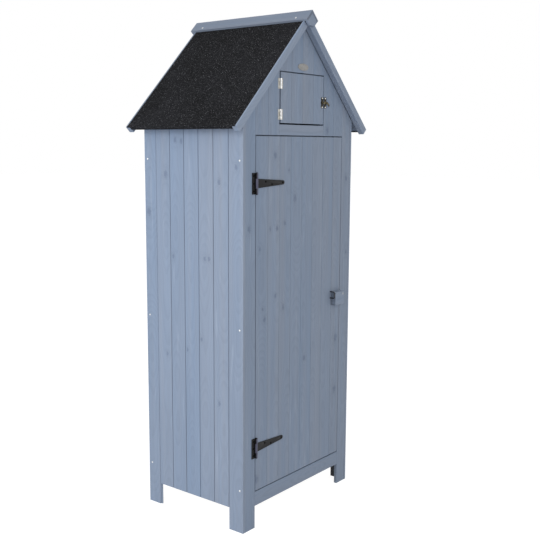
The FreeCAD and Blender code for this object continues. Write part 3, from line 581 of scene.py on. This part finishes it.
# CAD node, boards, width of the first, middle and last board, bottom, top, corner, turn, seed, edge radius
rows = {
    "leftWallBoards": ("left_wall_boards", 5, (wallBoard,) * 3, foot, pastRoof,
                       (-side, sideStart), -90, 3, 2.2),
    "rightWallBoards": ("right_wall_boards", 5, (wallBoard,) * 3, foot, pastRoof,
                        (side, sideEnd), 90, 8, 2.2),
    "gableTopBoards": ("gable_top_boards", 4, (joints[3] - loftDoor["opening"], pitch, pitch),
                       gable["aboveDoor"], pastRoof, (loftDoor["opening"], front), 0, 12, 1.0),
    "mainDoorBoards": ("main_door_boards", 8, (pitch, pitch, door["last"]), door["bottom"], door["top"],
                       (door["left"], front), 0, 5, 1.0),
    "smallDoorBoards": ("small_door_boards", 4, (loftDoor["edgeBoard"], pitch, loftDoor["edgeBoard"]),
                        loftDoor["bottom"], loftDoor["top"], (joints[2] + door["gap"], front), 0, 6, 1.0),
    "backWallBoards": ("back_wall_boards", 8, (backBoard,) * 3, foot, pastRoof,
                       (4 * backBoard, back), 180, 21, 2.2),
    "dividerBoards": ("divider_boards", 6, (dividerBoard,) * 3, 129.0, 1384.123, (36.0, 203.0), -90, 31, 1.7),
    "gableLeftBoards": ("gable_side_boards", 2,
                        (joints[1] + gable["half"], pitch, loftDoor["opening"] - joints[1]),
                        gable["bottom"], pastRoof, (-gable["half"], front), 0, 41, 1.0),
    "gableRightBoards": ("gable_side_boards", 2, (pitch, pitch, gable["half"] - joints[7]),
                         gable["bottom"], pastRoof, (joints[6], front), 0, 44, 1.0),
}
doorRows = {"mainDoorBoards": "main_door", "smallDoorBoards": "small_door"}


def makeRow(name, count, widths, bottom, top, corner, turn, seed, edgeRound):
    return grow(name, boardRow, {
        "Boards": count, "First Width": widths[0] * mm, "Board Width": widths[1] * mm,
        "Last Width": widths[2] * mm, "Thickness": rowShape["thickness"], "Joint Gap": rowShape["jointGap"],
        "Edge Round": edgeRound * mm, "Bottom": bottom * mm, "Top": top * mm,
        "Roof Peak": rowShape["roofPeak"], "Roof Slope": rowShape["roofSlope"],
        "Place": (corner[0] * mm, corner[1] * mm, 0.0), "Turn": math.radians(turn), "Seed": seed,
        "Material": plainFir if name == "dividerBoards" else stainedFir})


made = {}
for name, (cadNode, *row) in rows.items():
    made.setdefault(cadNode, []).append((name, makeRow(name, *row)))
for cadNode, parts in made.items():
    name, piece = parts[0]
    if len(parts) > 1:
        piece = joinPieces("gableSideBoards", [part for label, part in parts])
    if name in boardKnots:
        setKnots(piece.data, boardKnots[name])
    slotName = "inner_wood" if name == "dividerBoards" else "stained_wood"
    keepPiece(piece, doorRows.get(name, "carcass"), slotName, cadNode)
print("board rows stand")


# long direction of a piece, set straight where it is close to an axis or to the 45 degree roof
def longAxis(points):
    spread = points - points.mean(0)
    along = np.linalg.eigh(spread.T @ spread)[1][:, 2]
    half = math.sqrt(0.5)
    snaps = [np.array(v) for v in ((1.0, 0, 0), (0, 1.0, 0), (0, 0, 1.0), (half, 0, half), (half, 0, -half))]
    close = max(snaps, key=lambda snap: abs(snap @ along))
    return close if abs(close @ along) > 0.985 else along


def cadMesh(cadNode):
    mesh = bmesh.new()
    mesh.from_mesh(nodes[cadNode].data)
    bmesh.ops.remove_doubles(mesh, verts=mesh.verts, dist=1e-5)
    return mesh


# faces within about 45 degrees of a direction face it
facingShare = 0.7


# a copy of a CAD node with its edges eased, and with grain, tone and shift for each board in it
def easedCopy(name, cadNode, material, bevel=0.8, grainAxis=None, seed=1, angle=25, darker=0.0, endGrainAndShade=1.0):
    mesh = cadMesh(cadNode)
    bmesh.ops.dissolve_limit(mesh, angle_limit=math.radians(1), verts=mesh.verts, edges=mesh.edges)
    sharp = [edge for edge in mesh.edges
             if edge.is_manifold and edge.calc_face_angle(0) > math.radians(angle)]
    if bevel:
        bmesh.ops.bevel(mesh, geom=sharp, offset=bevel * mm, offset_type="OFFSET", segments=2, profile=0.5,
                        affect="EDGES", clamp_overlap=True)
    chance = np.random.default_rng(seed)
    toneLayer, tintLayer = (mesh.verts.layers.float.new(label) for label in ("tone", "tint"))
    grainLayer, shiftLayer = (mesh.verts.layers.float_vector.new(label) for label in ("grain", "shift"))
    endLayer, underShadeLayer = (mesh.faces.layers.float.new(label) for label in ("endGrain", "under"))
    for group in findIslands(mesh):
        points = np.array([vert.co for vert in group])
        along = np.array(grainAxis, float) if grainAxis else longAxis(points)
        across = np.cross(along, (0, 1, 0))
        if np.linalg.norm(across) < 0.3:
            across = np.cross(along, (0, 0, 1))
        across = across / np.linalg.norm(across)
        deep = np.cross(along, across)
        if np.ptp(points @ deep) > np.ptp(points @ across):
            across, deep = deep, across
        middle = (points.max(0) + points.min(0)) / 2
        tone, tint, shift = chance.uniform(-1, 1) - darker, chance.uniform(0, 1), chance.uniform(0, 1, 3)
        faces = set()
        for vert, point in zip(group, points):
            away = point - middle
            vert[grainLayer] = Vector((away @ across, away @ deep, point @ along))
            vert[shiftLayer] = Vector(shift)
            vert[toneLayer] = tone
            vert[tintLayer] = tint
            faces.update(vert.link_faces)
        for face in faces:
            # end faces take the end grain darkening; where it is raised above 1 it also paints shade
            face[endLayer] = endGrainAndShade if abs(face.normal @ Vector(along)) > facingShare else 0.0
            # faces marked for painted shade below the floor: the inner faces of the legs and all of the
            # corner posts
            inward = -math.copysign(1, middle[0]) * face.normal.x > facingShare
            face[underShadeLayer] = float(name == "cornerPosts" or (name in feet and inward))
    data = bpy.data.meshes.new(name)
    mesh.to_mesh(data)
    mesh.free()
    data.materials.append(material)
    if name in boardKnots:
        setKnots(data, boardKnots[name])
    return bpy.data.objects.new(name, data)


# boards whose inner faces get painted shade below the floor
feet = ("leftBackLeg", "rightBackLeg", "leftFrontLeg", "rightFrontLeg")

# CAD node and width of the eased edge, in millimetres
outerWood = {
    "backBargeboards": ("back_bargeboards", 1.0), "backStiles": ("back_stiles", 1.0),
    "frontBargeboardLeft": ("front_bargeboard_left", 1.8),
    "frontBargeboardRight": ("front_bargeboard_right", 1.2),
    "frontSill": ("front_sill", 1.2), "gableRail": ("gable_rail", 1.0),
    "leftBackLeg": ("left_back_leg_board", 1.2), "rightBackLeg": ("right_back_leg_board", 1.2),
    "leftFrontLeg": ("left_front_leg_board", 1.2), "rightFrontLeg": ("right_front_leg_board", 1.2),
    "leftFrontStile": ("left_front_stile", 1.2), "rightFrontStile": ("right_front_stile", 1.2),
    "ridgeCapLeft": ("ridge_cap_left", 1.2), "ridgeCapRight": ("ridge_cap_right", 1.2),
    "ridgeEndBlocks": ("ridge_end_blocks", 1.0), "cornerPosts": ("corner_posts", 0.8),
    "doorHeader": ("door_header", 0.8), "smallDoorSurround": ("small_door_surround", 0.8),
    "roofDeckLeft": ("roof_deck_left", 0.6), "roofDeckRight": ("roof_deck_right", 0.6),
}
# steps of tone by which a piece is darker; below zero it is lighter. The door header is darkened as painted
# shade in the gap above the main door, and the roof decks as painted shade under the eaves
darkerBy = {
    "doorHeader": 11.0, "ridgeCapLeft": 6.7, "ridgeCapRight": 5.0, "ridgeEndBlocks": 2.0,
    "frontBargeboardLeft": -2.8, "leftFrontLeg": -0.8, "leftFrontStile": -0.8,
    "roofDeckLeft": 5.0, "roofDeckRight": 5.0,
}
innerWood = {
    "backWallRails": "back_wall_rails", "floorBearers": "floor_bearers", "floorBoards": "floor_boards",
    "gableBattens": "gable_battens", "loftBoards": "loft_boards", "shelfCleats": "shelf_cleats",
    "shelfBoards": "shelves", "sideWallRails": "side_wall_rails",
}
for order, (name, (cadNode, ease)) in enumerate(outerWood.items()):
    # the roof decks' end faces are painted near black, a painted shadow in the gaps behind the bargeboards
    piece = easedCopy(name, cadNode, stainedFir, ease, seed=50 + order, darker=darkerBy.get(name, 0.0),
                      endGrainAndShade=5.0 if name.startswith("roofDeck") else 1.0)
    keepPiece(piece, "carcass", "stained_wood", cadNode)
for order, (name, cadNode) in enumerate(innerWood.items()):
    keepPiece(easedCopy(name, cadNode, plainFir, seed=80 + order), "carcass", "inner_wood", cadNode)
for name, cadNode, body, seed in (("mainDoorLedges", "main_door_ledges", "main_door", 96),
                                  ("smallDoorLedges", "small_door_ledges", "small_door", 97)):
    keepPiece(easedCopy(name, cadNode, plainFir, 1.0, seed=seed), body, "inner_wood", cadNode)
# the turn block's end faces are darkened 2.7 times the end grain, the part above end grain being painted
# shade
keepPiece(easedCopy("turnBlock", "turn_block", stainedFir, 0.5, grainAxis=(1, 0, 0), seed=98, endGrainAndShade=2.7),
          "turn_latch", "stained_wood", "turn_block")
for hand in ("left", "right"):
    keepPiece(easedCopy(hand + "Felt", "roof_felt_" + hand, mineralFelt, 0.5), "carcass", "mineral_felt",
              "roof_felt_" + hand)
print("wood and felt dressed")

# shares of the head radius
screwShape = {"Dome Height": 0.42, "Recess Length": 1.15, "Recess Width": 0.24, "Shank Length": 3.0}


# screws: domed heads with a cross recess, set where the CAD screws stand
def screwTree():
    tree, given = startTree("screwHeads", {
        "Places": "Geometry", "Dome Height": "Float", "Recess Length": "Float", "Recess Width": "Float",
        "Shank Length": "Float", "Seed": "Int", "Material": "Material"})
    ball = shape(tree, "MeshUVSphere", {"Segments": 28, "Rings": 14, "Radius": 1.0})
    squash = joinPlace(tree, 1.0, 1.0, given["Dome Height"])
    sunk = joinPlace(tree, 0.0, 0.0, times(tree, given["Dome Height"], -1.0))
    dome = transformed(tree, ball, Scale=squash, Translation=sunk)
    barSize = joinPlace(tree, given["Recess Length"], given["Recess Width"], 0.6)
    bars = []
    for turn in (0.0, math.pi / 2):
        bar = shape(tree, "MeshCube", {"Size": barSize})
        bars.append(transformed(tree, bar, Rotation=(0.0, 0.0, turn)))
    cut = shape(tree, "MeshBoolean", {0: dome, 1: joined(tree, *bars)}, operation="DIFFERENCE")
    shank = shape(tree, "MeshCylinder", {"Vertices": 12, "Radius": 0.5, "Depth": given["Shank Length"]})
    low = addUp(tree, 0.0, (given["Dome Height"], -1.5), (given["Shank Length"], -0.5))
    shank = transformed(tree, shank, Translation=joinPlace(tree, 0.0, 0.0, low))
    screw = joined(tree, cut, shank)
    points = shape(tree, "MeshToPoints", {0: given["Places"]})
    outward = stored(tree, "outward", "FLOAT_VECTOR")
    facing = result(tree, "FunctionNodeAlignRotationToVector", {"Vector": outward}, axis="Z")
    placed = shape(tree, "InstanceOnPoints", {
        "Points": points, "Instance": screw, "Rotation": facing, "Scale": stored(tree, "size")})
    spin = addNode(tree, "FunctionNodeRandomValue", {"Seed": given["Seed"]}, data_type="FLOAT")
    openSocket(spin.inputs, "Max").default_value = math.pi
    turn = joinPlace(tree, 0.0, 0.0, openSocket(spin.outputs))
    spun = shape(tree, "RotateInstances", {"Instances": placed, "Rotation": turn, "Local Space": True})
    solid = shape(tree, "RealizeInstances", {"Geometry": spun})
    return endTree(tree, solid, given["Material"])


screwHeads = screwTree()


# head middle, outward direction and head radius of every screw in a CAD node
def screwPlaces(cadNode):
    mesh = cadMesh(cadNode)
    found = []
    for group in findIslands(mesh):
        points = np.array([vert.co for vert in group])
        along = longAxis(points)
        middle = (points @ along).mean() * along
        offset = points - np.outer(points @ along, along)
        centre = (offset.max(0) + offset.min(0)) / 2
        aside = np.linalg.norm(offset - centre, axis=1)
        head = points[aside > 0.75 * aside.max()]
        if (head.mean(0) - middle) @ along < 0:
            along = -along
        top = (points @ along).max()
        found.append((centre + top * along, along, aside.max()))
    mesh.free()
    return found


def shadeSmooth(data, angle):
    data.shade_smooth()
    data.set_sharp_from_angle(angle=math.radians(angle))


def makeScrews(name, cadNode, material, seed):
    tops, directions, radii = zip(*screwPlaces(cadNode))
    start = bpy.data.meshes.new(name + "Places")
    start.from_pydata([tuple(top) for top in tops], [], [])
    outward = start.attributes.new("outward", "FLOAT_VECTOR", "POINT")
    outward.data.foreach_set("vector", np.array(directions).ravel())
    size = start.attributes.new("size", "FLOAT", "POINT")
    size.data.foreach_set("value", radii)
    screws = grow(name, screwHeads, dict(screwShape, Seed=seed, Material=material), start)
    screws.data.materials.clear()
    screws.data.materials.append(material)
    screws.data.polygons.foreach_set("material_index", [0] * len(screws.data.polygons))
    return screws


screwPieces = {
    "leafScrews": ("hinge_leaf_screws", "carcass", ironScrew, "black_steel"),
    "strapScrews": ("hinge_strap_screws", "main_door", ironScrew, "black_steel"),
    "carcassScrews": ("carcass_screws", "carcass", zincSteel, "zinc_steel"),
    "smallDoorScrews": ("small_door_screws", "small_door", zincSteel, "zinc_steel"),
}
for order, (name, (cadNode, body, material, slotName)) in enumerate(screwPieces.items()):
    piece = makeScrews(name, cadNode, material, 60 + order)
    shadeSmooth(piece.data, 35)
    keepPiece(piece, body, slotName, cadNode)
print("screws set")

# sizes of the latch plates, in millimetres, and shares of them
latch = dict(
    level=1483.623, back=-230.0, thickness=1.2, lobe=7.3, lobeMiddle=13.2, disc=8.2, waist=6.4, stud=2.0,
    studTaper=0.9, rim=0.35, capDrop=0.9, capFlat=0.26, steps=48)


def latchHalfWidth(rise):
    widths = [latch["waist"] if abs(rise) < latch["lobeMiddle"] else 0.0]
    for centre, radius in ((0, latch["disc"]), (latch["lobeMiddle"], latch["lobe"]),
                           (-latch["lobeMiddle"], latch["lobe"])):
        widths.append(math.sqrt(max(radius ** 2 - (rise - centre) ** 2, 0.0)))
    return max(widths)


# latch plates: a disc in the middle and a lobe around each screw, with the pivot or the stud
def latchPlate(name, middle, studTop, capRadius):
    tip = latch["lobeMiddle"] + latch["lobe"]
    rises = [-tip * math.cos(math.pi * step / latch["steps"]) for step in range(latch["steps"] + 1)]
    flank = [(latchHalfWidth(rise), rise) for rise in rises[1:-1]]
    outline = [(0.0, rises[0])] + flank + [(0.0, rises[-1])] + [(-x, z) for x, z in reversed(flank)]
    mesh = bmesh.new()
    verts = [mesh.verts.new(((middle + x) * mm, latch["back"] * mm, (latch["level"] + z) * mm))
             for x, z in outline]
    raised = bmesh.ops.extrude_face_region(mesh, geom=[mesh.faces.new(verts)])
    moved = [item for item in raised["geom"] if isinstance(item, bmesh.types.BMVert)]
    bmesh.ops.translate(mesh, vec=(0, -latch["thickness"] * mm, 0), verts=moved)
    rim = [edge for edge in mesh.edges if all(vert in moved for vert in edge.verts)]
    bmesh.ops.bevel(mesh, geom=rim, offset=latch["rim"] * mm, segments=2, profile=0.5, affect="EDGES")
    bmesh.ops.recalc_face_normals(mesh, faces=mesh.faces)
    face = latch["back"] - latch["thickness"]
    reach = face - studTop

    def lyingAt(depth):
        place = Matrix.Translation((middle * mm, depth * mm, latch["level"] * mm))
        return place @ Matrix.Rotation(math.pi / 2, 4, "X")

    bmesh.ops.create_cone(
        mesh, cap_ends=True, segments=24, radius1=latch["stud"] * mm,
        radius2=latch["stud"] * latch["studTaper"] * mm, depth=reach * mm, matrix=lyingAt(face - reach / 2))
    if capRadius:
        flatten = Matrix.Diagonal((1, 1, latch["capFlat"], 1))
        bmesh.ops.create_uvsphere(mesh, u_segments=28, v_segments=14, radius=capRadius * mm,
                                  matrix=lyingAt(studTop + latch["capDrop"]) @ flatten)
    data = bpy.data.meshes.new(name)
    mesh.to_mesh(data)
    mesh.free()
    data.materials.append(agedBrass)
    shadeSmooth(data, 30)
    return bpy.data.objects.new(name, data)


keepPiece(latchPlate("latchDoorPlate", 122.064, -235.4, 3.4), "small_door", "aged_brass",
          "box_latch_door_plate")
keepPiece(latchPlate("latchFramePlate", 140.964, -235.0, 0), "carcass", "aged_brass",
          "box_latch_frame_plate")

# barrels of the hinges get a painted highlight: axis and radius of a barrel in millimetres, and how far
# toward the light the painted highlight starts and is full
towardLight = (0.62, -0.78)
barrels = {
    "leaf": {"axis": (-254.8, -235.0), "radius": 4.8, "start": 0.0, "full": 1.6},
    "strap": {"axis": (-254.8, -235.0), "radius": 4.8, "start": -4.0, "full": -2.6},
    "small": {"axis": (-125.429, -232.9), "radius": 2.7, "start": -1.2, "full": -0.2},
}


# painted highlight: the share of the highlight colour on each barrel face, by how far it turns toward the
# lamp
def markPaintedHighlight(data, barrel):
    points = np.empty(len(data.vertices) * 3)
    data.vertices.foreach_get("co", points)
    away = points.reshape(-1, 3)[:, :2] / mm - barrel["axis"]
    share = np.clip((away @ towardLight - barrel["start"]) / (barrel["full"] - barrel["start"]), 0, 1)
    onBarrel = np.linalg.norm(away, axis=1) < 1.08 * barrel["radius"]
    values = np.zeros(len(data.loops))
    for face in data.polygons:
        corners = list(face.vertices)
        if onBarrel[corners].all():
            values[list(face.loop_indices)] = share[corners]
    data.attributes.new("paintedHighlight", "FLOAT", "CORNER").data.foreach_set("value", values)


# CAD node, body, material, slot, width of the eased edge in millimetres, and the barrel with a painted
# highlight
metalPieces = {
    "lowerHingeLeaf": ("lower_hinge_leaf", "carcass", ironWithPaintedHighlight, "black_steel", 0.35, "leaf"),
    "upperHingeLeaf": ("upper_hinge_leaf", "carcass", ironWithPaintedHighlight, "black_steel", 0.35, "leaf"),
    "lowerHingeStrap": ("lower_hinge_strap", "main_door", ironWithPaintedHighlight, "black_steel", 0.35, "strap"),
    "upperHingeStrap": ("upper_hinge_strap", "main_door", ironWithPaintedHighlight, "black_steel", 0.35, "strap"),
    "hingePins": ("hinge_pins", "carcass", blackIron, "black_steel", 0.3, None),
    "smallHingePins": ("small_hinge_pins", "carcass", zincSteel, "zinc_steel", 0.2, None),
    "doorStaple": ("door_staple", "main_door", stapleSteel, "black_steel", 0, None),
    "turnSpindle": ("turn_spindle", "turn_latch", dullZinc, "zinc_steel", 0.25, None),
    "turnTongue": ("turn_tongue", "turn_latch", zincSteel, "zinc_steel", 0.3, None),
    "smallHingeFrameLeaves": ("small_hinge_frame_leaves", "carcass", zincLeafWithPaintedHighlight, "zinc_steel", 0.2, "small"),
    "smallHingeDoorLeaves": ("small_hinge_door_leaves", "small_door", zincLeafWithPaintedHighlight, "zinc_steel", 0.2, "small"),
    "latchHook": ("box_latch_hook", "box_hook", hookBrass, "aged_brass", 0.3, None),
    "ovalPlate": ("oval_plate", "carcass", satinPlate, "plate_metal", 0.4, None),
}
for name, (cadNode, body, material, slotName, ease, barrel) in metalPieces.items():
    piece = easedCopy(name, cadNode, material, ease, angle=35)
    if barrel:
        markPaintedHighlight(piece.data, barrels[barrel])
    shadeSmooth(piece.data, 28)
    keepPiece(piece, body, slotName, cadNode)
print("metal dressed")

# floor, background, lamps
stage = dict(
    ground=paint(236, 237, 240), groundDust=paint(231, 232, 236), shownGround=(0.26, 0.26, 0.262, 1.0),
    lift=0.95, ambient=0.5, ambientColour=(0.95, 0.975, 1.0, 1.0), dustScale=40.0, half=30)


# rays that show the stage itself, so that it looks white, while the others only light the cabinet
def showingRays(tree):
    rays = addNode(tree, "ShaderNodeLightPath").outputs
    shown = calc(tree, "MAXIMUM", rays["Is Glossy Ray"], rays["Is Transmission Ray"])
    return calc(tree, "MAXIMUM", rays["Is Camera Ray"], shown)


def paleFloor():
    material, tree, shader = startMaterial("paleFloor")
    tree.nodes.remove(shader)
    place = addNode(tree, "ShaderNodeTexCoord").outputs["Object"]
    pale = mixColour(tree, noise(tree, place, stage["dustScale"]), stage["ground"], stage["groundDust"])
    matt = result(tree, "ShaderNodeBsdfDiffuse", {"Color": pale})
    shown = result(tree, "ShaderNodeBsdfDiffuse", {"Color": stage["shownGround"]})
    glow = result(tree, "ShaderNodeEmission", {"Strength": stage["lift"]})
    lit = result(tree, "ShaderNodeAddShader", {0: shown, 1: glow})
    both = result(tree, "ShaderNodeMixShader", {0: showingRays(tree), 1: matt, 2: lit})
    tree.links.new(both, tree.nodes["Material Output"].inputs["Surface"])
    return material


floorMesh = bpy.data.meshes.new("floor")
corners = [(x * stage["half"], y * stage["half"], 0) for x, y in ((-1, -1), (1, -1), (1, 1), (-1, 1))]
floorMesh.from_pydata(corners, [], [(0, 1, 2, 3)])
floorMesh.materials.append(paleFloor())
floor = bpy.data.objects.new("floor", floorMesh)
scene.collection.objects.link(floor)

world = bpy.data.worlds.new("studio")
scene.world = world
world.use_nodes = True
sky = world.node_tree
background = sky.nodes["Background"]
background.inputs["Color"].default_value = stage["ambientColour"]
background.inputs["Strength"].default_value = stage["ambient"]
white = addNode(sky, "ShaderNodeBackground", {"Color": (1.0, 1.0, 1.0, 1.0), "Strength": 1.0})
blend = addNode(sky, "ShaderNodeMixShader", {
    0: showingRays(sky), 1: background.outputs[0], 2: white.outputs[0]})
sky.links.new(blend.outputs[0], sky.nodes["World Output"].inputs["Surface"])

# place, target, size, power and colour of each lamp
lamps = {
    "leftKey": ((-4.2, 0.4, 1.9), (-0.3, 0, 1.0), 2.4, 96.5, (0.893, 0.938, 1.0)),
    "frontFill": ((-1.7, -3.3, 2.2), (0, -0.2, 1.2), 2.0, 36.6, (0.985, 0.985, 0.985)),
    "topSoft": ((-0.4, -0.8, 4.8), (0, 0, 1.2), 3.0, 12.0, (1.0, 1.0, 1.0)),
}
for name, (place, target, size, power, colour) in lamps.items():
    lamp = bpy.data.lights.new(name, "AREA")
    lamp.shape = "DISK"
    lamp.size = size
    lamp.energy = power
    lamp.color = colour
    holder = bpy.data.objects.new(name, lamp)
    holder.location = place
    holder.rotation_euler = (Vector(target) - Vector(place)).to_track_quat("-Z", "Y").to_euler()
    scene.collection.objects.link(holder)

# the camera of the photo, fitted to the corners of the cabinet
view = dict(yaw=51.670, pitch=-8.345, roll=0.274, place=(-2445.5, -2023.8, 1331.4), lens=56.724)
yaw, tilt, roll = (math.radians(view[key]) for key in ("yaw", "pitch", "roll"))
ahead = Vector((math.sin(yaw) * math.cos(tilt), math.cos(yaw) * math.cos(tilt), math.sin(tilt)))
right = ahead.cross(Vector((0, 0, 1))).normalized()
up = right.cross(ahead)
rightTurned = right * math.cos(roll) + up * math.sin(roll)
upTurned = up * math.cos(roll) - right * math.sin(roll)
camera = bpy.data.cameras.new("camera")
camera.lens = view["lens"]
camera.sensor_width = 36.0
cameraHolder = bpy.data.objects.new("camera", camera)
pose = Matrix((rightTurned, upTurned, -ahead)).transposed().to_4x4()
pose.translation = Vector(view["place"]) * mm
cameraHolder.matrix_world = pose
scene.collection.objects.link(cameraHolder)
scene.camera = cameraHolder
scene.view_settings.view_transform = "Standard"
print("stage set")
